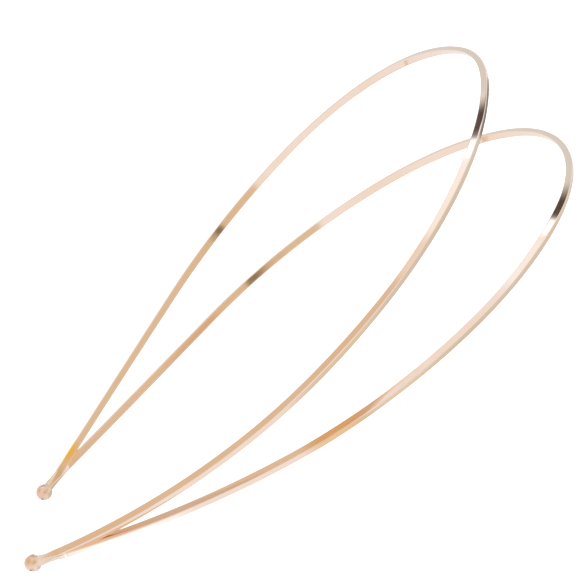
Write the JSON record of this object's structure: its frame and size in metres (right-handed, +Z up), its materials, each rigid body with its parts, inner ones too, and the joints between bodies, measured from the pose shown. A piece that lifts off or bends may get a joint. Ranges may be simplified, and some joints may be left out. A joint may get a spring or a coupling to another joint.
{
  "type": "double headband",
  "caption": "Rigid double headband of polished square wire: two open hoops spread like a V from shared ends that finish in small balls.",
  "frame": {"origin": "under the middle of the whole object, on the surface that the lower band lies on", "axes": "+X from the left end to the right end, +Y from the ends towards the crowns, +Z up from the surface"},
  "size_m": [0.1128, 0.1636, 0.0336],
  "materials": {
    "rose_gold_plate": "polished pale rose gold plating over steel wire"
  },
  "bodies": {
    "root": {"double_headband": "rose_gold_plate"}
  },
  "joints": []
}
